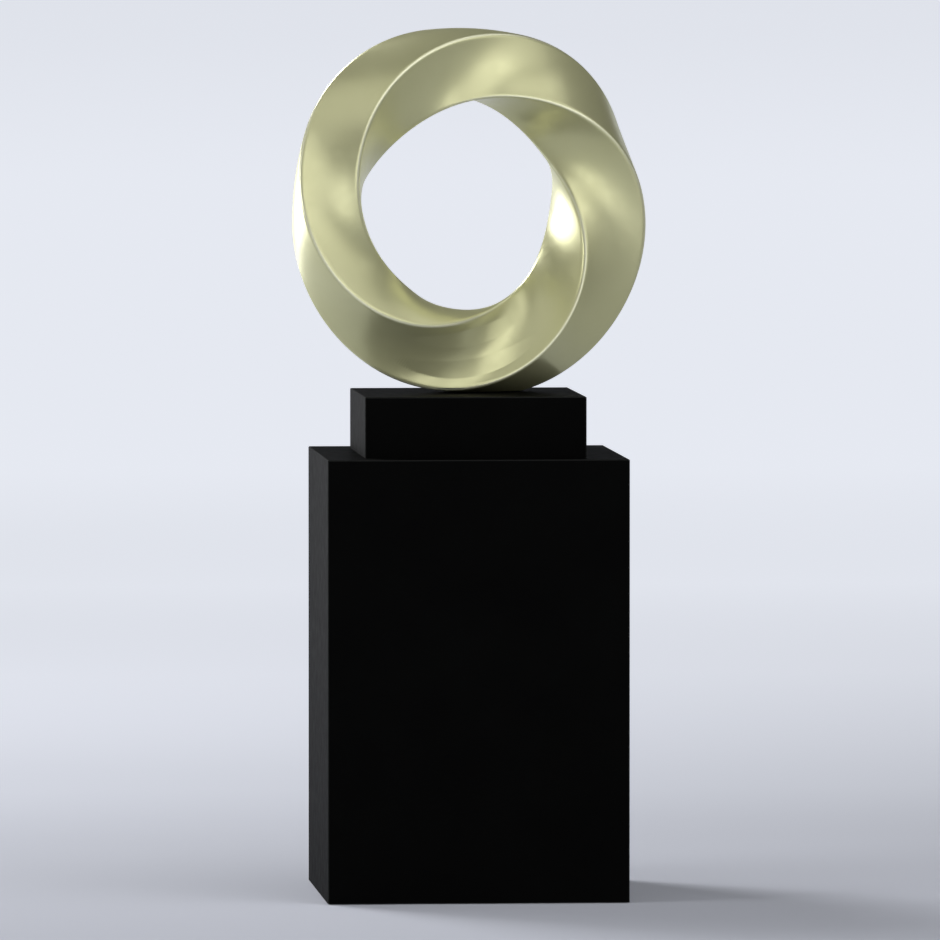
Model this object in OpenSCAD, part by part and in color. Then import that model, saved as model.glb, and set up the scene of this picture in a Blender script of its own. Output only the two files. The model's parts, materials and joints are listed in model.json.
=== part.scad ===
// Twisted ring sculpture, bolted to a low block on a tall square pedestal.
// Millimetres. +Z is up and -Y is the front. The origin is the middle of the floor under the pedestal.

/* [Ring] */
// Radius of the line through the middle of the ring's section
ring_r = 264.2; // [240:0.1:290]
// How far the ring is turned about the vertical
ring_yaw = 17.9; // [0:0.1:40]
// Sideways place of the ring on the block
ring_x = -5.5; // [-20:0.5:20]
// Slow in and out of the ring's middle line, twice round
path_oval = 2.8; // [0:0.1:4]
// Where round the ring it is furthest out
path_oval_at = -36; // [-90:1:90]
// A second such in and out, three times round
path_tri = 2.9; // [0:0.1:4]
// Where round the ring that second one is furthest out
path_tri_at = 51; // [-60:1:60]

/* [Section] */
// Short diagonal of the four-cornered section
diag_a = 162.2; // [150:0.2:170]
// Long diagonal of the section
diag_b = 183.6; // [174:0.2:192]
// Angle at which the two diagonals cross
cross_angle = 97.3; // [92:0.1:102]
// Height of the bulge of the face that lies in the hole at the foot
bulge_a = 14; // [10:0.5:16]
// How much that bulge grows towards the foot and sinks towards the top
bulge_a_swing = 4; // [0:0.5:5]
// Height of the bulge of the face that looks to the front at the foot
bulge_b = 8.4; // [6:0.1:11]
// Height of the bulge of the face that stands on the block
bulge_c = 4; // [3:0.1:7]
// Height of the bulge of the face that looks to the back at the foot
bulge_d = 6.3; // [4:0.1:9]
// Length over which a face rolls into each ridge
ridge_round = 9; // [8:0.5:10]
// Share by which the section grows once round the ring
size_swing_share = 0.066; // [0:0.001:0.08]
// Where round the ring that growth is greatest
size_swing_at = -15; // [-40:1:10]
// Share by which the section grows twice round the ring
size_oval_share = 0.057; // [0:0.001:0.07]
// Where round the ring that second growth is greatest
size_oval_at = 16; // [0:1:32]
// Share by which the section grows three times round the ring
size_tri_share = 0.034; // [0:0.001:0.04]
// Where round the ring that third growth is greatest
size_tri_at = 19; // [5:1:33]

/* [Twist] */
// Degrees by which the twist runs ahead once round the ring
turn_swing = 9; // [0:0.1:11]
// Where round the ring it is furthest ahead
turn_swing_at = -8; // [-30:1:15]
// Degrees by which it runs ahead twice round the ring
turn_oval = 3.5; // [0:0.1:5]
// Where round the ring that second lead is greatest
turn_oval_at = -59; // [-80:1:-40]
// Degrees by which it runs ahead three times round the ring
turn_tri = 1.4; // [0:0.1:2]
// Where round the ring that third lead is greatest
turn_tri_at = 60; // [40:1:80]

/* [Ring metalwork] */
// Thickness of the sheet of the four skins
skin_t = 3; // [2.5:0.5:4]
// Width of the seam between two skins, at a ridge
seam = 0.2; // [0.1:0.1:0.4]
// Thickness of the rib plates
rib_t = 3; // [2:0.5:4]
// Room between a rib plate and the skins, which twist past it
rib_room = 1.2; // [1:0.1:1.6]
// Diameter of the round bar that the ribs are threaded on
hoop_d = 20; // [14:1:26]
// Angle each side of the foot that has no rib
rib_clear_angle = 32; // [28:1:36]

/* [Ring foot] */
// How much of the ring's lowest face is cut away flat
foot_cut = 9.4; // [8:0.2:13]
// Thickness of the plate inside the foot
foot_plate_t = 10; // [8:1:12]
// Sideways place of the studs' middle in the ring
foot_x = 50; // [48:1:52]
// How far back in the ring the studs stand
foot_y = 26; // [24:1:28]
// Distance of each stud from the middle between them
stud_x = 22; // [20:1:24]
// Diameter of the studs
stud_d = 14; // [10:1:14]
// Sideways place of the posts' middle in the ring
post_mid_x = 25; // [20:1:28]
// Distance of each post from the middle between them
post_x = 45; // [38:1:47]
// Diameter of the posts between the plate and the hoop
post_d = 20; // [14:1:22]

/* [Block] */
// Width of the block
block_w = 401; // [360:1:440]
// Depth of the block
block_d = 401; // [360:1:440]
// Height of the block
block_h = 110; // [95:1:140]

/* [Pedestal] */
// Width of the pedestal
ped_w = 545; // [520:1:600]
// Depth of the pedestal
ped_d = 545; // [520:1:600]
// Height of the pedestal, its floor pads included
ped_h = 801; // [600:1:1000]
// Height of the gap between the panels' lower edges and the floor
floor_gap = 1.5; // [1:0.5:2.5]

/* [Boards] */
// Thickness of the lacquered boards
board_t = 18; // [15:1:22]
// Radius of the boards' outer edges
edge_r = 2.5; // [1:0.5:4]
// Side of the square corner battens
batten_w = 40; // [30:1:45]
// Width and height of the two bearers under the block
bearer_w = 40; // [30:1:50]
// Clearance between loosely fitted boards
fit = 0.3; // [0.2:0.1:0.6]

/* [Fixings] */
// Clearance round a stud or a bolt
hole_room = 1; // [0.5:0.1:1.5]
// Diameter of the four bolts that hold the block
bolt_d = 10; // [8:1:12]
// Distance of the block bolts from the block's inner walls
bolt_inset = 36; // [30:1:45]
// Diameter of the hand hole in the block's base
hand_hole_d = 200; // [160:1:220]
// Diameter of the washers under the foot nuts
washer_d = 34; // [28:1:38]
// Thickness of the washers
washer_t = 3; // [2:0.5:4]
// Diameter of the floor pads
pad_d = 60; // [40:1:80]
// Thickness of the floor pads
pad_t = 3; // [3:0.5:5]
// Distance of the corner pads from the panels' inner faces
pad_inset = 50; // [45:1:80]

/* [Hidden] */
$fn = 64;

// Colours
gold = [0.71, 0.70, 0.53];
mill_steel = [0.55, 0.56, 0.57];
black_lacquer = [0.06, 0.065, 0.065];
raw_wood = [0.72, 0.60, 0.44];
rubber_black = [0.03, 0.03, 0.03];

// Counts of the ring's mesh
ring_steps = 96;
face_steps = 4;
rib_count = 8;
foot_steps = 8;

// Overrun of every cut
cut = 5;

// Levels
block_top_z = ped_h + block_h;
foot_angle = -90;

// Nuts, bolt heads and threads, as shares of the diameters that they belong to
nut_w_share = 1.5;
nut_h_share = 0.8;
stud_tail_share = 0.5;
head_w_share = 1.6;
head_h_share = 0.7;
flange_w_share = 2.1;
flange_h_share = 0.2;
nut_w = nut_w_share * stud_d;
nut_h = nut_h_share * stud_d;
stud_tail = stud_tail_share * stud_d;
bolt_head_w = head_w_share * bolt_d;
bolt_head_h = head_h_share * bolt_d;
bolt_flange_w = flange_w_share * bolt_d;
bolt_flange_h = flange_h_share * bolt_d;
thread_room = 0.1;

// Where the block's bolts and the pedestal's pads stand
bolt_x = block_w / 2 - board_t - bolt_inset;
bolt_y = block_d / 2 - board_t - bolt_inset;
pad_x = ped_w / 2 - board_t - pad_inset;
pad_y = ped_d / 2 - board_t - pad_inset;
corners = [[-1, -1], [1, -1], [1, 1], [-1, 1]];

// Vector helpers
function unit(v) = v / norm(v);
function outward(tangent) = unit([tangent[1], -tangent[0]]);
function turned(p, a) = [p[0] * cos(a) - p[1] * sin(a), p[0] * sin(a) + p[1] * cos(a)];

// The ring's values at angle a, counted from its right-hand side towards its top
function path_r(a) =
    ring_r + path_oval * cos(2 * (a - path_oval_at)) + path_tri * cos(3 * (a - path_tri_at));
function turn(a) =
    a + turn_swing * cos(a - turn_swing_at)
        + turn_oval * cos(2 * (a - turn_oval_at))
        + turn_tri * cos(3 * (a - turn_tri_at));
function size(a) =
    1 + size_swing_share * cos(a - size_swing_at)
        + size_oval_share * cos(2 * (a - size_oval_at))
        + size_tri_share * cos(3 * (a - size_tri_at));
function bulge(k, a) = [bulge_a - bulge_a_swing * sin(a), bulge_b, bulge_c, bulge_d][k];

// Corner k of the section, counter-clockwise, and the share of a face that rolls into its ridge
function corner(k) =
    let (even = k % 2 == 0,
         angle = 90 * k + 45 + (even ? cross_angle - 90 : 90 - cross_angle) / 2)
    (even ? diag_a : diag_b) / 2 * [cos(angle), sin(angle)];
function edge(k) = corner(k + 1) - corner(k);
function roll(k) = ridge_round / norm(edge(k));

// Point and direction at share u along face k, at ring angle a
function face_point(k, u, a) =
    corner(k) + edge(k) * u + outward(edge(k)) * bulge(k, a) * 4 * u * (1 - u);
function face_way(k, u, a) = edge(k) + outward(edge(k)) * bulge(k, a) * 4 * (1 - 2 * u);

// Point at share t of the rounded ridge k, from the face before it to the face after it
function ridge_point(k, t, a) =
    let (last = (k + 3) % 4)
    face_point(last, 1 - roll(last), a) * (1 - t) * (1 - t)
        + corner(k) * 2 * t * (1 - t)
        + face_point(k, roll(k), a) * t * t;

// Inner corner of ridge k, where the two faces beside it meet when both are moved in by inset
function inner_corner(k, a, inset) =
    let (last = (k + 3) % 4,
         before = outward(corner(k) - face_point(last, 1 - roll(last), a)),
         after = outward(face_point(k, roll(k), a) - corner(k)))
    corner(k) * size(a) - (before + after) * inset / (1 + before * after);

// Share of face k at its step j, between the two ridges
function face_share(k, j) = roll(k) + (1 - 2 * roll(k)) * j / face_steps;

// Outer line of band k at ring angle a, from the middle of its first ridge to the middle of the next
function outer_line(k, a) = [
    for (t = [0.5, 0.75]) ridge_point(k, t, a) * size(a),
    for (j = [0 : face_steps]) face_point(k, face_share(k, j), a) * size(a),
    for (t = [0.25, 0.5]) ridge_point((k + 1) % 4, t, a) * size(a)
];

// Line of face k, moved in by inset
function face_line(k, a, inset) =
    [for (j = [0 : face_steps])
        let (u = face_share(k, j))
        face_point(k, u, a) * size(a) - outward(face_way(k, u, a)) * inset];

// Inner line of band k, between the inner corners of its two ridges
function inner_line(k, a, inset) =
    concat([inner_corner(k, a, inset)], face_line(k, a, inset), [inner_corner((k + 1) % 4, a, inset)]);

// A line with its two ends drawn back by half the seam
function seamed(line) =
    let (last = len(line) - 1)
    [for (i = [0 : last])
        i == 0 ? line[0] + unit(line[1] - line[0]) * seam / 2
        : i == last ? line[last] + unit(line[last - 1] - line[last]) * seam / 2
        : line[i]];

// Edge of one sheet: its outer line and then its inner line back again
function sheet_line(k, a) =
    let (inner = seamed(inner_line(k, a, skin_t)))
    concat(seamed(outer_line(k, a)), [for (i = [len(inner) - 1 : -1 : 0]) inner[i]]);

// The whole section, moved in by inset
function section_line(a, inset) =
    [for (k = [0 : 3]) each concat([inner_corner(k, a, inset)], face_line(k, a, inset))];

// A section's point at ring angle a, turned with the twist, first number outward and second to the back
function twisted(p, a) = turned(p, -turn(a));

// The same point, placed in the ring
function in_ring(p, a) =
    let (q = twisted(p, a), r = path_r(a) + q[0])
    [r * cos(a), q[1], r * sin(a)];

// Depth of the ring's lowest point below its middle, and the middle's height above the block
low_reach = -min([
    for (i = [-foot_steps : foot_steps])
        let (a = foot_angle + 360 * i / ring_steps)
        for (k = [0 : 3]) for (p = outer_line(k, a)) in_ring(p, a)[2]
]);
ring_lift = low_reach - foot_cut;
cut_reach = 2 * (ring_r + diag_b);

// Corners j and j + 1 of one section and the same two of the next, in order round the face between them
function face_corners(first, second, j, n) =
    [first * n + j, first * n + (j + 1) % n, second * n + (j + 1) % n, second * n + j];

// Faces of a row of sections that closes on itself
function loop_faces(count, n) =
    [for (i = [0 : count - 1]) for (j = [0 : n - 1])
        let (c = face_corners(i, (i + 1) % count, j, n))
        each [[c[0], c[2], c[1]], [c[0], c[3], c[2]]]];

// Faces of a row of sections with two ends, split across like the skins' inner side, which runs backwards
function tube_faces(count, n) = [
    for (i = [0 : count - 2]) for (j = [0 : n - 1])
        let (c = face_corners(i, i + 1, j, n))
        each [[c[0], c[3], c[1]], [c[3], c[2], c[1]]],
    [for (j = [0 : n - 1]) j],
    [for (j = [n - 1 : -1 : 0]) (count - 1) * n + j]
];

// The ring's own frame, whose middle is the origin
module at_ring() {
    translate([ring_x, 0, block_top_z + ring_lift]) rotate([0, 0, ring_yaw]) children();
}

// Everything below the top of the block, in the ring's frame
module below_block_top() {
    translate([-cut_reach / 2, -cut_reach / 2, -ring_lift - cut_reach])
        cube([cut_reach, cut_reach, cut_reach]);
}

// One of the four skins: a formed sheet that turns once on itself on its way round the ring
module ring_skin(k) {
    points = [for (i = [0 : ring_steps - 1])
        let (a = foot_angle + 360 * i / ring_steps)
        for (p = sheet_line(k, a)) in_ring(p, a)];
    color(gold) at_ring() difference() {
        polyhedron(points, loop_faces(ring_steps, len(sheet_line(k, 0))), convexity = 12);
        below_block_top();
    }
}

// One flat rib plate, threaded on the hoop
module ring_rib(i) {
    a = foot_angle + rib_clear_angle + (360 - 2 * rib_clear_angle) * (i - 1) / (rib_count - 1);
    color(mill_steel) at_ring() rotate([0, -a, 0]) translate([path_r(a), 0, -rib_t / 2])
        linear_extrude(rib_t) difference() {
            polygon([for (p = section_line(a, skin_t + rib_room)) twisted(p, a)]);
            translate([ring_r - path_r(a), 0]) circle(d = hoop_d + fit);
        }
}

// Round bar, rolled to a full circle
module hoop(room) {
    rotate([90, 0, 0]) rotate_extrude($fn = 96) translate([ring_r, 0]) circle(d = hoop_d + room, $fn = 24);
}

module ring_hoop() {
    color(mill_steel) at_ring() hoop(0);
}

// Plate inside the foot: the skins' inner space, sliced flat above and below, with two holes for studs
module foot_plate() {
    points = [for (i = [-foot_steps : foot_steps])
        let (a = foot_angle + 360 * i / ring_steps)
        for (p = section_line(a, skin_t + fit)) in_ring(p, a)];
    color(mill_steel) at_ring() difference() {
        intersection() {
            polyhedron(points, tube_faces(2 * foot_steps + 1, len(section_line(0, skin_t))), convexity = 6);
            translate([-cut_reach / 2, -cut_reach / 2, -ring_lift])
                cube([cut_reach, cut_reach, foot_plate_t]);
        }
        for (side = [-1, 1]) translate([foot_x + side * stud_x, foot_y, -ring_lift - cut])
            cylinder(d = stud_d + thread_room, h = foot_plate_t + 2 * cut);
    }
}

// Post between the foot plate and the hoop, with its upper end cut to the hoop
module foot_post(side) {
    x = post_mid_x + side * post_x;
    post_h = ring_lift - foot_plate_t - sqrt(ring_r * ring_r - x * x);
    color(mill_steel) at_ring() difference() {
        translate([x, 0, -ring_lift + foot_plate_t]) cylinder(d = post_d, h = post_h);
        hoop(fit);
    }
}

// Stud, washer and nut that pull the foot down onto the block's top board
module at_stud(side) {
    at_ring() translate([foot_x + side * stud_x, foot_y, -ring_lift]) children();
}

stud_drop = board_t + washer_t + nut_h + stud_tail;

module foot_stud(side) {
    color(mill_steel) at_stud(side) translate([0, 0, -stud_drop])
        cylinder(d = stud_d, h = stud_drop + foot_plate_t);
}

module foot_washer(side) {
    color(mill_steel) at_stud(side) translate([0, 0, -board_t - washer_t]) difference() {
        cylinder(d = washer_d, h = washer_t);
        translate([0, 0, -cut]) cylinder(d = stud_d + hole_room, h = washer_t + 2 * cut);
    }
}

module foot_nut(side) {
    color(mill_steel) at_stud(side) translate([0, 0, -board_t - washer_t - nut_h]) difference() {
        cylinder(d = nut_w / cos(30), h = nut_h, $fn = 6);
        translate([0, 0, -cut]) cylinder(d = stud_d + thread_room, h = nut_h + 2 * cut);
    }
}

// Rectangle with round corners, centred
module round_rect(w, d, r) {
    square([w - 2 * r, d], center = true);
    square([w, d - 2 * r], center = true);
    for (c = corners) translate([c[0] * (w / 2 - r), c[1] * (d / 2 - r)]) circle(r = r);
}

// Box on the floor plane with round upright and upper edges, and square lower edges
module lacquered_box(w, d, h) {
    intersection() {
        linear_extrude(h) round_rect(w, d, edge_r);
        translate([0, d / 2, 0]) rotate([90, 0, 0]) linear_extrude(d) round_rect(w, 2 * h, edge_r);
        translate([-w / 2, 0, 0]) rotate([90, 0, 90]) linear_extrude(w) round_rect(d, 2 * h, edge_r);
    }
}

// Front panel of such a box, mitred at both sides and at the top
module front_panel(w, d, h) {
    intersection() {
        lacquered_box(w, d, h);
        linear_extrude(h) polygon([
            [-w / 2, -d / 2], [w / 2, -d / 2],
            [w / 2 - board_t, -d / 2 + board_t], [-w / 2 + board_t, -d / 2 + board_t]
        ]);
        translate([-w / 2, 0, 0]) rotate([90, 0, 90]) linear_extrude(w) polygon([
            [-d / 2, 0], [-d / 2 + board_t, 0], [-d / 2 + board_t, h - board_t], [-d / 2, h]
        ]);
    }
}

// Top board of such a box, mitred on all four sides
module top_panel(w, d, h) {
    intersection() {
        lacquered_box(w, d, h);
        translate([0, d / 2, 0]) rotate([90, 0, 0]) linear_extrude(d) polygon([
            [-w / 2 + board_t, h - board_t], [w / 2 - board_t, h - board_t], [w / 2, h], [-w / 2, h]
        ]);
        translate([-w / 2, 0, 0]) rotate([90, 0, 90]) linear_extrude(w) polygon([
            [-d / 2 + board_t, h - board_t], [d / 2 - board_t, h - board_t], [d / 2, h], [-d / 2, h]
        ]);
    }
}

// One of the four side panels, by the quarter turns that bring the front panel there
module side_panel(w, d, h, quarter) {
    odd = quarter % 2 == 1;
    rotate([0, 0, 90 * quarter]) front_panel(odd ? d : w, odd ? w : d, h);
}

// Block
module at_block() {
    translate([0, 0, ped_h]) children();
}

module block_side(quarter) {
    color(black_lacquer) at_block() side_panel(block_w, block_d, block_h, quarter);
}

module block_top() {
    color(black_lacquer) difference() {
        at_block() top_panel(block_w, block_d, block_h);
        for (side = [-1, 1]) at_stud(side) translate([0, 0, -board_t - cut])
            cylinder(d = stud_d + hole_room, h = board_t + 2 * cut);
    }
}

// Bolts of the block, placed at the four corners
module at_bolt(i) {
    translate([corners[i - 1][0] * bolt_x, corners[i - 1][1] * bolt_y, ped_h]) children();
}

module bolt_holes(room) {
    for (i = [1 : 4]) at_bolt(i) translate([0, 0, -board_t - bearer_w - cut])
        cylinder(d = bolt_d + room, h = 2 * board_t + bearer_w + 2 * cut);
}

module block_base() {
    w = block_w - 2 * board_t - 2 * fit;
    d = block_d - 2 * board_t - 2 * fit;
    color(raw_wood) difference() {
        translate([-w / 2, -d / 2, ped_h]) cube([w, d, board_t]);
        translate([0, 0, ped_h - cut]) cylinder(d = hand_hole_d, h = board_t + 2 * cut);
        bolt_holes(thread_room);
    }
}

// Bolt with a flange and a six-sided head, from below the bearer up to the top of the block's base
module block_bolt(i) {
    color(mill_steel) at_bolt(i) {
        translate([0, 0, -board_t - bearer_w]) cylinder(d = bolt_d, h = 2 * board_t + bearer_w);
        translate([0, 0, -board_t - bearer_w - bolt_flange_h])
            cylinder(d = bolt_flange_w, h = bolt_flange_h);
        translate([0, 0, -board_t - bearer_w - bolt_flange_h - bolt_head_h])
            cylinder(d = bolt_head_w / cos(30), h = bolt_head_h, $fn = 6);
    }
}

// Pedestal
module at_panels() {
    translate([0, 0, floor_gap]) children();
}

module pedestal_side(quarter) {
    color(black_lacquer) at_panels() side_panel(ped_w, ped_d, ped_h - floor_gap, quarter);
}

module pedestal_top() {
    color(black_lacquer) difference() {
        at_panels() top_panel(ped_w, ped_d, ped_h - floor_gap);
        bolt_holes(hole_room);
    }
}

module pedestal_base() {
    w = ped_w - 2 * board_t - 2 * fit;
    d = ped_d - 2 * board_t - 2 * fit;
    color(raw_wood) translate([-w / 2, -d / 2, pad_t]) cube([w, d, board_t]);
}

// Corner battens stand on the base and carry the top
module pedestal_batten(i) {
    x = corners[i - 1][0] * (ped_w / 2 - board_t - batten_w / 2);
    y = corners[i - 1][1] * (ped_d / 2 - board_t - batten_w / 2);
    color(raw_wood) translate([x - batten_w / 2, y - batten_w / 2, pad_t + board_t])
        cube([batten_w, batten_w, ped_h - pad_t - 2 * board_t]);
}

// Bearers run from front to back under the block's bolts
module pedestal_bearer(side) {
    length = ped_d - 2 * board_t - 2 * fit;
    color(raw_wood) difference() {
        translate([side * bolt_x - bearer_w / 2, -length / 2, ped_h - board_t - bearer_w])
            cube([bearer_w, length, bearer_w]);
        bolt_holes(hole_room);
    }
}

module floor_pad(x, y) {
    color(rubber_black) translate([x, y, 0]) cylinder(d = pad_d, h = pad_t);
}

ring_skin(0);  // ring_skin_a
ring_skin(1);  // ring_skin_b
ring_skin(2);  // ring_skin_c
ring_skin(3);  // ring_skin_d
ring_rib(1);  // ring_rib_1
ring_rib(2);  // ring_rib_2
ring_rib(3);  // ring_rib_3
ring_rib(4);  // ring_rib_4
ring_rib(5);  // ring_rib_5
ring_rib(6);  // ring_rib_6
ring_rib(7);  // ring_rib_7
ring_rib(8);  // ring_rib_8
ring_hoop();
foot_plate();
foot_post(-1);  // foot_post_left
foot_post(1);  // foot_post_right
foot_stud(-1);  // foot_stud_left
foot_stud(1);  // foot_stud_right
foot_washer(-1);  // foot_washer_left
foot_washer(1);  // foot_washer_right
foot_nut(-1);  // foot_nut_left
foot_nut(1);  // foot_nut_right
block_top();
block_side(0);  // block_front
block_side(1);  // block_right
block_side(2);  // block_back
block_side(3);  // block_left
block_base();
block_bolt(1);  // block_bolt_1
block_bolt(2);  // block_bolt_2
block_bolt(3);  // block_bolt_3
block_bolt(4);  // block_bolt_4
pedestal_top();
pedestal_side(0);  // pedestal_front
pedestal_side(1);  // pedestal_right
pedestal_side(2);  // pedestal_back
pedestal_side(3);  // pedestal_left
pedestal_base();
pedestal_batten(1);  // pedestal_batten_1
pedestal_batten(2);  // pedestal_batten_2
pedestal_batten(3);  // pedestal_batten_3
pedestal_batten(4);  // pedestal_batten_4
pedestal_bearer(-1);  // pedestal_bearer_left
pedestal_bearer(1);  // pedestal_bearer_right
floor_pad(-pad_x, -pad_y);  // floor_pad_1
floor_pad(pad_x, -pad_y);  // floor_pad_2
floor_pad(pad_x, pad_y);  // floor_pad_3
floor_pad(-pad_x, pad_y);  // floor_pad_4
floor_pad(0, 0);  // floor_pad_middle
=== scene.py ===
import json
import math

import bmesh
import bpy
import numpy as np
from mathutils import Matrix, Vector

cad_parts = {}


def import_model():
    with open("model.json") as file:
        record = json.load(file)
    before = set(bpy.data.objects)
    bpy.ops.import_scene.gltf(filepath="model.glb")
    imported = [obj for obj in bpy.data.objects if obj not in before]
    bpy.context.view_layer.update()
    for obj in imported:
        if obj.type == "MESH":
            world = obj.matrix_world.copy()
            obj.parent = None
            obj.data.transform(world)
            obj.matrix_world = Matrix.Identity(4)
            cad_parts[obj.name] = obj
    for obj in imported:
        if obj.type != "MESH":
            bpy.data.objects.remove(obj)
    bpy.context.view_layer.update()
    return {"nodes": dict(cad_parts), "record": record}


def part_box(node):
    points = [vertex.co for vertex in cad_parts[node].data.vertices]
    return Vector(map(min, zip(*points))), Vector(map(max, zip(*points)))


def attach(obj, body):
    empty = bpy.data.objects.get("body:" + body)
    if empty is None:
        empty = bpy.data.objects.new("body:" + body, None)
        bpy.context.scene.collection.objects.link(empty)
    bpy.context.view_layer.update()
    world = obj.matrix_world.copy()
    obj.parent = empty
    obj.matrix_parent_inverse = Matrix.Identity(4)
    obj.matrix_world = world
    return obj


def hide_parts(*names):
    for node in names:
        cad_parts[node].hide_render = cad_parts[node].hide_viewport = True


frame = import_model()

# The ring, as in the part's source, in metres and radians
RING_R = 0.2642
RING_YAW = math.radians(17.9)
RING_X = -0.0055
PATH_OVAL = 0.0028
PATH_OVAL_AT = math.radians(-36)
PATH_TRI = 0.0029
PATH_TRI_AT = math.radians(51)
DIAG_A = 0.1622
DIAG_B = 0.1836
CROSS_ANGLE = math.radians(97.3)
BULGES = (0.014, 0.0084, 0.004, 0.0063)
BULGE_SWING = 0.004
RIDGE_ROUND = 0.009
SIZE_SWING = 0.066
SIZE_SWING_AT = math.radians(-15)
SIZE_OVAL = 0.057
SIZE_OVAL_AT = math.radians(16)
SIZE_TRI = 0.034
SIZE_TRI_AT = math.radians(19)
TURN_SWING = math.radians(9)
TURN_SWING_AT = math.radians(-8)
TURN_OVAL = math.radians(3.5)
TURN_OVAL_AT = math.radians(-59)
TURN_TRI = math.radians(1.4)
TURN_TRI_AT = math.radians(60)
RING_LIFT = 0.33239

# How far each face is drawn in, and the ring angle at which it faces the front and is drawn in most
HOLLOWS = (0.018, 0.024, 0.009, 0.0118)
HOLLOWS_AT = (math.pi, -math.pi / 2, 0.0, math.pi / 2)

# How far the dressed surface lies inside the CAD skin, so that it stays in the CAD box, and how thick
# the dressed sheet is
DRESSING = 0.0003
SHEET_T = 0.0018

# Counts of the ring's mesh, and the half step over which a line's direction is taken
RING_STEPS = 384
FACE_STEPS = 26
RIDGE_STEPS = 8
RIDGE_NUDGE = 0.01
FACE_NUDGE = 0.001

# The ribs inside the ring: how many, where they start, their plate, and their room under the skins
RIB_COUNT = 8
RIB_START = math.radians(-58)
RIB_END = math.radians(238)
RIB_T = 0.003
RIB_INSET = 0.0055
RIB_STEPS = 9
HOOP_HOLE_R = 0.01015

# Angle from which an edge stays sharp
SHARP = math.radians(40)

# Largest share of a normal along one axis, on a bevelled edge and on a flat face, between which the
# lacquer's painted edge highlight fades out
EDGE_TURN, FACE_TURN = 0.93, 0.995

# Half width of the painted highlight line along each ridge, and how metallic the satin finish is
RIDGE_HIGHLIGHT_HALF_WIDTH = 0.0035
GOLD_METALLIC = 0.48

# The studio: softboxes by name, azimuth, elevation, distance, width, height, power, and spread in
# degrees
LAMPS_AIM = (0, 0, 1.1)
LAMPS = (
    ("key_back_left", -144, 40, 7, 2.4, 2.4, 300, 180),
    ("low_back_left", -130, 0, 4, 2.8, 1.4, 20, 70),
    ("left_side", -70, 10, 4, 1.6, 1.4, 50, 180),
    ("left_high", -40, 48, 4, 3.6, 2.6, 22, 180),
    ("front", 22, 25, 4, 3.2, 2.2, 40, 180),
    ("front_low", 8, -5, 4, 2.4, 1.4, 22, 180),
    ("right", 55, 27, 4, 2.6, 2.6, 22, 180),
    ("right_high", 60, 60, 4, 3.6, 1.4, 24, 180),
)
WORLD_LEVEL = 0.05

# The studio paper: its own colour, the tint of its glow, and how strongly it glows along its depth
# plus its height
PAPER_COLOR = (0.496, 0.512, 0.572)
GLOW_TINT = (0.967, 1.0, 1.08)
GLOW_FRONT, GLOW_BACK = -60, 40
GLOW = (
    (-60.0, 0.435),
    (-8.0, 0.375),
    (-3.5, 0.105),
    (-1.0, 0.0),
    (0.0, 0.035),
    (1.5, 0.11),
    (2.5, 0.23),
    (6.0, 0.515),
    (9.5, 0.71),
    (15.5, 0.79),
    (29.2, 0.79),
    (30.8, 0.74),
)


def corner(k):
    """Corner k of the section."""
    even = k % 2 == 0
    lean = (CROSS_ANGLE - math.pi / 2) / 2
    angle = math.pi / 2 * k + math.pi / 4 + (lean if even else -lean)
    half = (DIAG_A if even else DIAG_B) / 2
    return half * np.array([math.cos(angle), math.sin(angle)])


def outward(way):
    """Unit normal to the right of a direction."""
    normal = np.array([way[1], -way[0]])
    return normal / np.linalg.norm(normal)


def path_r(a):
    """Radius of the ring's middle line at ring angle a."""
    oval = PATH_OVAL * math.cos(2 * (a - PATH_OVAL_AT))
    return RING_R + oval + PATH_TRI * math.cos(3 * (a - PATH_TRI_AT))


def turn(a):
    """Twist of the section at ring angle a."""
    swing = TURN_SWING * math.cos(a - TURN_SWING_AT) + TURN_OVAL * math.cos(2 * (a - TURN_OVAL_AT))
    return a + swing + TURN_TRI * math.cos(3 * (a - TURN_TRI_AT))


def size(a):
    """Growth of the section at ring angle a."""
    swing = SIZE_SWING * math.cos(a - SIZE_SWING_AT) + SIZE_OVAL * math.cos(2 * (a - SIZE_OVAL_AT))
    return 1 + swing + SIZE_TRI * math.cos(3 * (a - SIZE_TRI_AT))


def face_point(k, u, a):
    """Point at share u along face k, at ring angle a."""
    start, end = corner(k), corner((k + 1) % 4)
    bulge = BULGES[k] - (BULGE_SWING * math.sin(a) if k == 0 else 0)
    bulge -= HOLLOWS[k] * max(0.0, math.cos(a - HOLLOWS_AT[k])) ** 2
    return start + (end - start) * u + outward(end - start) * bulge * 4 * u * (1 - u)


def roll(k):
    """Share of face k that rolls into a ridge."""
    return RIDGE_ROUND / np.linalg.norm(corner((k + 1) % 4) - corner(k))


def ridge_point(k, t, a):
    """Point at share t of the rounded ridge k, from the face before it to the face after it."""
    last = (k + 3) % 4
    start, end = face_point(last, 1 - roll(last), a), face_point(k, roll(k), a)
    return start * (1 - t) ** 2 + corner(k) * 2 * t * (1 - t) + end * t ** 2


def twisted(p, a):
    """A section's point at ring angle a, turned with the twist."""
    back = -turn(a)
    return np.array([p[0] * math.cos(back) - p[1] * math.sin(back),
                     p[0] * math.sin(back) + p[1] * math.cos(back)])


def in_ring(p, a):
    """A section's point at ring angle a, placed in the ring."""
    out, back = twisted(p, a)
    r = path_r(a) + out
    return (r * math.cos(a), back, r * math.sin(a))


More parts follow.
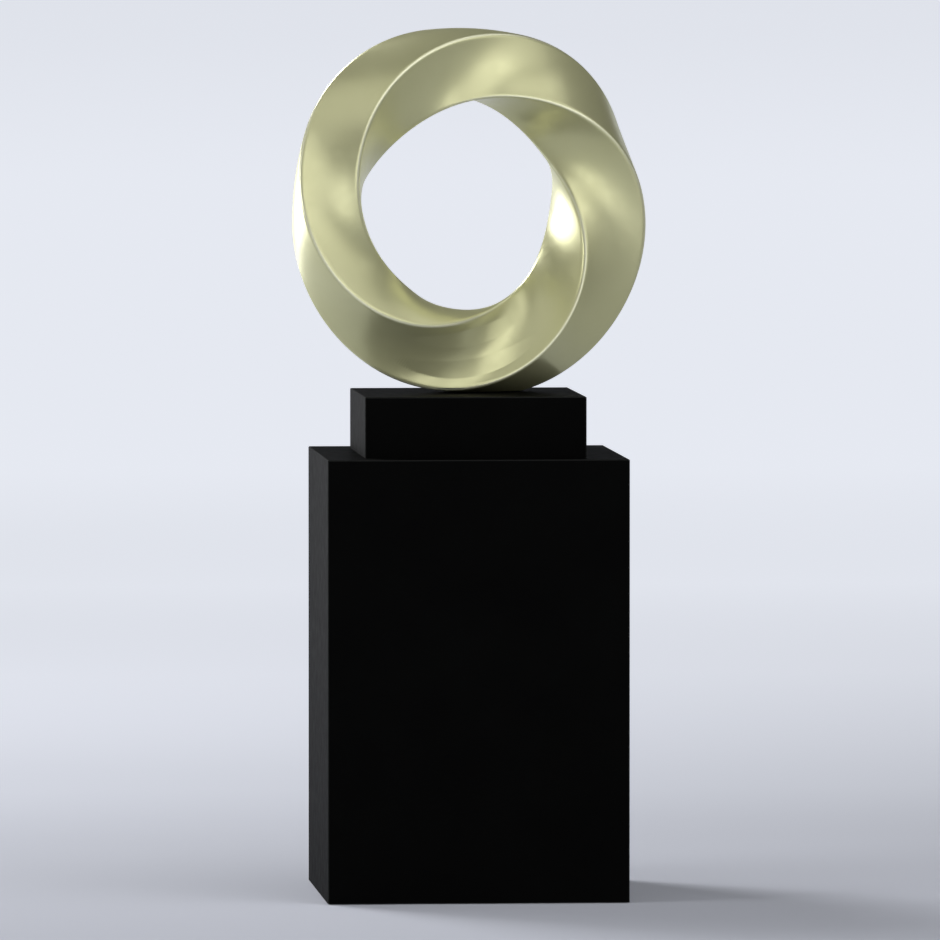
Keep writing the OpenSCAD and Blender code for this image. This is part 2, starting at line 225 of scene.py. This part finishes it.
def outer_line(k, a):
    """Outer line of band k at ring angle a, from the middle of one ridge to the middle of the next."""
    first = [ridge_point(k, 0.5 + 0.5 * i / RIDGE_STEPS, a) for i in range(RIDGE_STEPS)]
    flat = 1 - 2 * roll(k)
    middle = [face_point(k, roll(k) + flat * j / FACE_STEPS, a) for j in range(FACE_STEPS + 1)]
    end = [ridge_point((k + 1) % 4, 0.5 * (i + 1) / RIDGE_STEPS, a) for i in range(RIDGE_STEPS)]
    return np.array(first + middle + end) * size(a)


def band_outline(k, a):
    """Band k's outer line at ring angle a, moved in by the dressing, and its inner line back again."""
    outer = outer_line(k, a)
    way = np.gradient(outer, axis=0)
    normal = np.stack([way[:, 1], -way[:, 0]], axis=1)
    normal /= np.linalg.norm(normal, axis=1)[:, None]
    # the two ends keep the ridge's own direction, so that neighbouring bands meet without a step
    for index, ridge in ((0, k), (-1, (k + 1) % 4)):
        before = ridge_point(ridge, 0.5 - RIDGE_NUDGE, a)
        after = ridge_point(ridge, 0.5 + RIDGE_NUDGE, a)
        normal[index] = outward(after - before)
    outer = outer - normal * DRESSING
    inner = outer[::-1] - normal[::-1] * SHEET_T
    return outer, inner[[0, RIDGE_STEPS, len(inner) // 2, -RIDGE_STEPS - 1, -1]]


def new_object(name, mesh):
    """An object for a mesh, in the scene."""
    obj = bpy.data.objects.new(name, mesh)
    bpy.context.scene.collection.objects.link(obj)
    return obj


def band_mesh(k):
    """Band k of the ring, in the ring's own frame: a closed sheet with smooth outer faces."""
    points, faces, smooth, ridge = [], [], [], []
    for i in range(RING_STEPS):
        a = 2 * math.pi * i / RING_STEPS
        outer, inner = band_outline(k, a)
        points += [in_ring(p, a) for p in list(outer) + list(inner)]
        # Share of the painted ridge highlight at each outer point: full at the ridge's middle, fading
        # to none a half width away
        for p in outer:
            reach = min(np.linalg.norm(p - outer[0]), np.linalg.norm(p - outer[-1]))
            ridge.append(max(0.0, 1 - reach / RIDGE_HIGHLIGHT_HALF_WIDTH))
        ridge += [0.0] * len(inner)
    count = len(outer) + len(inner)
    for i in range(RING_STEPS):
        after = (i + 1) % RING_STEPS
        for j in range(count):
            beside = (j + 1) % count
            faces.append((i * count + j, after * count + j, after * count + beside, i * count + beside))
            smooth.append(True)
    mesh = bpy.data.meshes.new(f"ring_band_{'abcd'[k]}")
    mesh.from_pydata(points, [], faces)
    mesh.polygons.foreach_set("use_smooth", smooth)
    layer = mesh.attributes.new("ridge", "FLOAT", "POINT")
    layer.data.foreach_set("value", ridge)
    return mesh


def cut_foot(bm, level):
    """Cuts the band flat where it stands on the block."""
    everything = bm.verts[:] + bm.edges[:] + bm.faces[:]
    cut = bmesh.ops.bisect_plane(bm, geom=everything, plane_co=(0, 0, level), plane_no=(0, 0, 1),
                                 clear_inner=True)
    rim = [e for e in cut["geom_cut"] if isinstance(e, bmesh.types.BMEdge)]
    if rim:
        bmesh.ops.holes_fill(bm, edges=rim, sides=0)


def ring_place():
    """Where the ring's own frame stands."""
    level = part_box("block_top")[1][2] + RING_LIFT
    return Matrix.Translation((RING_X, 0, level)) @ Matrix.Rotation(RING_YAW, 4, "Z")


def rib_plate(number, material):
    """One flat rib plate, cut to the dressed skins, in place of its CAD plate."""
    a = RIB_START + (RIB_END - RIB_START) * (number - 1) / (RIB_COUNT - 1)
    middle = np.array([RING_R - path_r(a), 0.0])
    outline, hole = [], []
    for k in range(4):
        for j in range(RIB_STEPS):
            u = roll(k) + (1 - 2 * roll(k)) * j / (RIB_STEPS - 1)
            way = face_point(k, u + FACE_NUDGE, a) - face_point(k, u - FACE_NUDGE, a)
            p = twisted(face_point(k, u, a) * size(a) - outward(way) * RIB_INSET, a)
            outline.append(p)
            hole.append(middle + (p - middle) / np.linalg.norm(p - middle) * HOOP_HOLE_R)
    points = []
    for ring in (outline, hole):
        for along in (-RIB_T / 2, RIB_T / 2):
            for p in ring:
                r = path_r(a) + p[0]
                x = r * math.cos(a) - along * math.sin(a)
                z = r * math.sin(a) + along * math.cos(a)
                points.append((x, p[1], z))
    count = len(outline)
    faces = []
    for first, second in ((0, 1), (1, 3), (3, 2), (2, 0)):
        for j in range(count):
            beside = (j + 1) % count
            faces.append((first * count + j, first * count + beside,
                          second * count + beside, second * count + j))
    mesh = bpy.data.meshes.new(f"rib_plate_{number}")
    mesh.from_pydata(points, [], faces)
    mesh.transform(ring_place())
    mesh.materials.append(material)
    bm = bmesh.new()
    bm.from_mesh(mesh)
    bmesh.ops.recalc_face_normals(bm, faces=bm.faces)
    bm.to_mesh(mesh)
    bm.free()
    plate = new_object(f"rib_plate_{number}", mesh)
    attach(plate, "root")
    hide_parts(f"ring_rib_{number}")


def ring_band(k, material):
    """One of the ring's four bands, in place of its CAD skin."""
    letter = "abcd"[k]
    block_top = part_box("block_top")[1][2]
    mesh = band_mesh(k)
    mesh.transform(ring_place())
    bm = bmesh.new()
    bm.from_mesh(mesh)
    cut_foot(bm, block_top + DRESSING)
    for edge in bm.edges:
        edge.smooth = len(edge.link_faces) == 2 and edge.calc_face_angle(0) < SHARP
    bm.to_mesh(mesh)
    bm.free()
    band = new_object(f"ring_band_{letter}", mesh)
    mesh.materials.append(material)
    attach(band, "root")
    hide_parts(f"ring_skin_{letter}")
    return band


def new_material(name):
    """A node material with its Principled shader."""
    material = bpy.data.materials.new(name)
    material.use_nodes = True
    nodes = material.node_tree.nodes
    return material, nodes, material.node_tree.links, nodes["Principled BSDF"]


def noise(nodes, links, scale, detail=3.0, stretch=(1, 1, 1)):
    """Even noise over the object, in its own metres, drawn out along the axes by stretch."""
    place = nodes.new("ShaderNodeTexCoord")
    mapping = nodes.new("ShaderNodeMapping")
    mapping.inputs["Scale"].default_value = stretch
    texture = nodes.new("ShaderNodeTexNoise")
    texture.inputs["Scale"].default_value = scale
    texture.inputs["Detail"].default_value = detail
    links.new(place.outputs["Object"], mapping.inputs["Vector"])
    links.new(mapping.outputs["Vector"], texture.inputs["Vector"])
    return texture.outputs["Fac"]


def spread(nodes, links, value, low, high, start=0.3, end=0.7):
    """A value between start and end, spread from low to high."""
    node = nodes.new("ShaderNodeMapRange")
    node.inputs["From Min"].default_value = start
    node.inputs["From Max"].default_value = end
    node.inputs["To Min"].default_value = low
    node.inputs["To Max"].default_value = high
    links.new(value, node.inputs["Value"])
    return node.outputs["Result"]


def blend_colors(nodes, links, share, first, second):
    """A colour between two colours, or sockets of colours, by a share."""
    node = nodes.new("ShaderNodeMix")
    node.data_type = "RGBA"
    links.new(share, node.inputs["Factor"])
    for socket, color in ((node.inputs["A"], first), (node.inputs["B"], second)):
        if isinstance(color, tuple):
            socket.default_value = (*color, 1)
        else:
            links.new(color, socket)
    return node.outputs["Result"]


def bump(nodes, links, shader, height, distance, strength=1.0):
    """Fine relief of a surface."""
    node = nodes.new("ShaderNodeBump")
    node.inputs["Distance"].default_value = distance
    node.inputs["Strength"].default_value = strength
    links.new(height, node.inputs["Height"])
    links.new(node.outputs["Normal"], shader.inputs["Normal"])


def gold_material():
    """Satin champagne metal, a little cloudy, with a painted highlight line along its ridges."""
    material, nodes, links, shader = new_material("satin_gold")
    cloud = spread(nodes, links, noise(nodes, links, 7, 4), 0, 1)
    body = blend_colors(nodes, links, cloud, (0.565, 0.56, 0.31), (0.585, 0.58, 0.335))
    # A lighter colour along the ridges, by the mesh's ridge share: a painted highlight line
    ridge = nodes.new("ShaderNodeAttribute")
    ridge.attribute_name = "ridge"
    ridge_highlight_color = blend_colors(nodes, links, ridge.outputs["Fac"], body, (0.80, 0.80, 0.58))
    links.new(ridge_highlight_color, shader.inputs["Base Color"])
    shader.inputs["Metallic"].default_value = GOLD_METALLIC
    grain = noise(nodes, links, 60, 5)
    links.new(spread(nodes, links, grain, 0.29, 0.36), shader.inputs["Roughness"])
    bump(nodes, links, shader, noise(nodes, links, 900, 2), 0.00002, 0.5)
    return material


def black_material():
    """Black satin lacquer, sprayed, with a painted highlight along its bevelled edges."""
    material, nodes, links, shader = new_material("black_lacquer")
    geometry = nodes.new("ShaderNodeNewGeometry")
    parts = nodes.new("ShaderNodeSeparateXYZ")
    links.new(geometry.outputs["True Normal"], parts.inputs["Vector"])
    longest = None
    for axis in "XYZ":
        extent = nodes.new("ShaderNodeMath")
        extent.operation = "ABSOLUTE"
        links.new(parts.outputs[axis], extent.inputs[0])
        if longest is None:
            longest = extent.outputs[0]
            continue
        larger = nodes.new("ShaderNodeMath")
        larger.operation = "MAXIMUM"
        links.new(longest, larger.inputs[0])
        links.new(extent.outputs[0], larger.inputs[1])
        longest = larger.outputs[0]
    # Bevelled edges, told apart by a normal that leans off every axis, get a lighter colour: a painted
    # highlight
    edge = spread(nodes, links, longest, 1, 0, EDGE_TURN, FACE_TURN)
    cloud = spread(nodes, links, noise(nodes, links, 9, 4), 0, 1)
    body = blend_colors(nodes, links, cloud, (0.0019, 0.0019, 0.0019), (0.0024, 0.0025, 0.0024))
    color = blend_colors(nodes, links, edge, body, (0.014, 0.0145, 0.014))
    links.new(color, shader.inputs["Base Color"])
    grain = noise(nodes, links, 45, 5)
    links.new(spread(nodes, links, grain, 0.54, 0.62), shader.inputs["Roughness"])
    shader.inputs["Specular IOR Level"].default_value = 0.01
    bump(nodes, links, shader, noise(nodes, links, 420, 2), 0.00004, 0.4)
    return material


def steel_material():
    """Mill-finished steel, drawn along one way, with a dull bloom."""
    material, nodes, links, shader = new_material("mill_steel")
    drawn = noise(nodes, links, 300, 4, (1, 1, 0.05))
    bloom = spread(nodes, links, noise(nodes, links, 14, 5), 0, 1)
    color = blend_colors(nodes, links, bloom, (0.33, 0.34, 0.35), (0.45, 0.45, 0.45))
    links.new(color, shader.inputs["Base Color"])
    shader.inputs["Metallic"].default_value = 1
    links.new(spread(nodes, links, drawn, 0.3, 0.5), shader.inputs["Roughness"])
    bump(nodes, links, shader, drawn, 0.00005, 0.5)
    return material


def wood_material():
    """Raw softwood, whose grain runs along the height of the pieces."""
    material, nodes, links, shader = new_material("raw_wood")
    rings = noise(nodes, links, 55, 6, (1, 1, 0.06))
    fibre = noise(nodes, links, 480, 4, (1, 1, 0.03))
    share = spread(nodes, links, rings, 0, 1, 0.38, 0.62)
    color = blend_colors(nodes, links, share, (0.58, 0.41, 0.22), (0.42, 0.26, 0.12))
    links.new(color, shader.inputs["Base Color"])
    links.new(spread(nodes, links, fibre, 0.6, 0.85), shader.inputs["Roughness"])
    bump(nodes, links, shader, fibre, 0.0002, 0.6)
    return material


def rubber_material():
    """Dull black rubber with a fine pebbled skin."""
    material, nodes, links, shader = new_material("pad_rubber")
    pebble = noise(nodes, links, 900, 3)
    share = spread(nodes, links, pebble, 0, 1)
    links.new(blend_colors(nodes, links, share, (0.014, 0.014, 0.014), (0.026, 0.026, 0.025)),
              shader.inputs["Base Color"])
    links.new(spread(nodes, links, pebble, 0.75, 0.92), shader.inputs["Roughness"])
    bump(nodes, links, shader, pebble, 0.0002, 0.6)
    return material


def camera():
    """The photograph's view: a long lens, a little above the middle and a little to the left."""
    view_yaw, view_pitch = math.radians(4.417), math.radians(2.827)
    aim_x, aim_z, distance = 0.00466, 0.76939, 22.923
    focal_pixels, frame_pixels, sensor = 12597, 940, 36
    level = math.cos(view_pitch)
    forward = Vector((math.sin(view_yaw) * level, math.cos(view_yaw) * level, -math.sin(view_pitch)))
    aim = Vector((aim_x * math.cos(view_yaw), -aim_x * math.sin(view_yaw), aim_z))
    data = bpy.data.cameras.new("camera")
    data.sensor_width = sensor
    data.lens = focal_pixels / frame_pixels * sensor
    data.clip_end = 100
    obj = bpy.data.objects.new("camera", data)
    obj.location = aim - forward * distance
    obj.rotation_euler = forward.to_track_quat("-Z", "Y").to_euler()
    bpy.context.scene.collection.objects.link(obj)
    bpy.context.scene.camera = obj


def studio_lamp(name, azimuth, elevation, distance, width, height, power, spread_angle):
    """A softbox that looks at LAMPS_AIM; azimuth 0 is the front and 90 the right."""
    data = bpy.data.lights.new(name, "AREA")
    data.shape = "RECTANGLE"
    data.size, data.size_y = width, height
    data.energy = power
    data.spread = math.radians(spread_angle)
    side, up = math.radians(azimuth), math.radians(elevation)
    way = Vector((math.sin(side) * math.cos(up), -math.cos(side) * math.cos(up), math.sin(up)))
    obj = bpy.data.objects.new(name, data)
    obj.location = Vector(LAMPS_AIM) + way * distance
    obj.rotation_euler = (-way).to_track_quat("-Z", "Y").to_euler()
    bpy.context.scene.collection.objects.link(obj)


def paper_material():
    """Studio paper: it takes the object's shadow, and glows a little where it is seen or mirrored."""
    material, nodes, links, shader = new_material("studio_paper")
    shader.inputs["Base Color"].default_value = (*PAPER_COLOR, 1)
    shader.inputs["Roughness"].default_value = 0.9
    shader.inputs["Specular IOR Level"].default_value = 0
    geometry = nodes.new("ShaderNodeNewGeometry")
    parts = nodes.new("ShaderNodeSeparateXYZ")
    links.new(geometry.outputs["Position"], parts.inputs["Vector"])
    along = nodes.new("ShaderNodeMath")
    along.operation = "ADD"
    links.new(parts.outputs["Y"], along.inputs[0])
    links.new(parts.outputs["Z"], along.inputs[1])
    ramp = nodes.new("ShaderNodeValToRGB")
    links.new(spread(nodes, links, along.outputs[0], 0, 1, GLOW_FRONT, GLOW_BACK), ramp.inputs["Fac"])
    stops = ramp.color_ramp.elements
    while len(stops) < len(GLOW):
        stops.new(0.5)
    for stop, (place, level) in zip(stops, GLOW):
        stop.position = (place - GLOW_FRONT) / (GLOW_BACK - GLOW_FRONT)
        stop.color = (*(level * share for share in GLOW_TINT), 1)
    glow = nodes.new("ShaderNodeEmission")
    links.new(ramp.outputs["Color"], glow.inputs["Color"])
    rays = nodes.new("ShaderNodeLightPath")
    seen = rays.outputs["Is Camera Ray"]
    for kind in ("Is Glossy Ray", "Is Transmission Ray"):
        larger = nodes.new("ShaderNodeMath")
        larger.operation = "MAXIMUM"
        links.new(seen, larger.inputs[0])
        links.new(rays.outputs[kind], larger.inputs[1])
        seen = larger.outputs[0]
    links.new(seen, glow.inputs["Strength"])
    both = nodes.new("ShaderNodeAddShader")
    links.new(shader.outputs["BSDF"], both.inputs[0])
    links.new(glow.outputs["Emission"], both.inputs[1])
    links.new(both.outputs["Shader"], nodes["Material Output"].inputs["Surface"])
    return material


def floor_and_backdrop():
    """One swept sheet: a floor that curves up into a wall, far enough to leave the back in view."""
    front, back, bend, wall_top, half_width, steps = -60, 32, 6, 8, 60, 48
    profile = [(front, 0.0), (back - bend, 0.0)]
    profile += [(back - bend + bend * math.sin(t), bend - bend * math.cos(t))
                for t in (math.pi / 2 * i / steps for i in range(1, steps + 1))]
    profile += [(back, wall_top)]
    points = [(side * half_width, y, z) for y, z in profile for side in (-1, 1)]
    faces = [(2 * i, 2 * i + 1, 2 * i + 3, 2 * i + 2) for i in range(len(profile) - 1)]
    mesh = bpy.data.meshes.new("studio_sweep")
    mesh.from_pydata(points, [], faces)
    mesh.polygons.foreach_set("use_smooth", [True] * len(faces))
    sweep = new_object("studio_sweep", mesh)
    mesh.materials.append(paper_material())


def world():
    """Even, very dim surroundings."""
    background = bpy.data.worlds.new("studio")
    bpy.context.scene.world = background
    background.use_nodes = True
    shader = background.node_tree.nodes["Background"]
    shader.inputs["Color"].default_value = (0.9, 0.93, 1.0, 1)
    shader.inputs["Strength"].default_value = WORLD_LEVEL


gold, black = gold_material(), black_material()
finishes = {
    "mill_steel": steel_material(),
    "raw_wood": wood_material(),
    "pad_rubber": rubber_material(),
    "black_lacquer": black,
    "satin_gold": gold,
}
for part in frame["record"]["subparts"]:
    node = frame["nodes"][part["node"]]
    node.data.materials.clear()
    node.data.materials.append(finishes[part["material_slot"]])
for k in range(4):
    ring_band(k, gold)
for number in range(1, RIB_COUNT + 1):
    rib_plate(number, finishes["mill_steel"])
floor_and_backdrop()
world()
camera()
for lamp in LAMPS:
    studio_lamp(*lamp)
bpy.context.scene.view_settings.view_transform = "Standard"
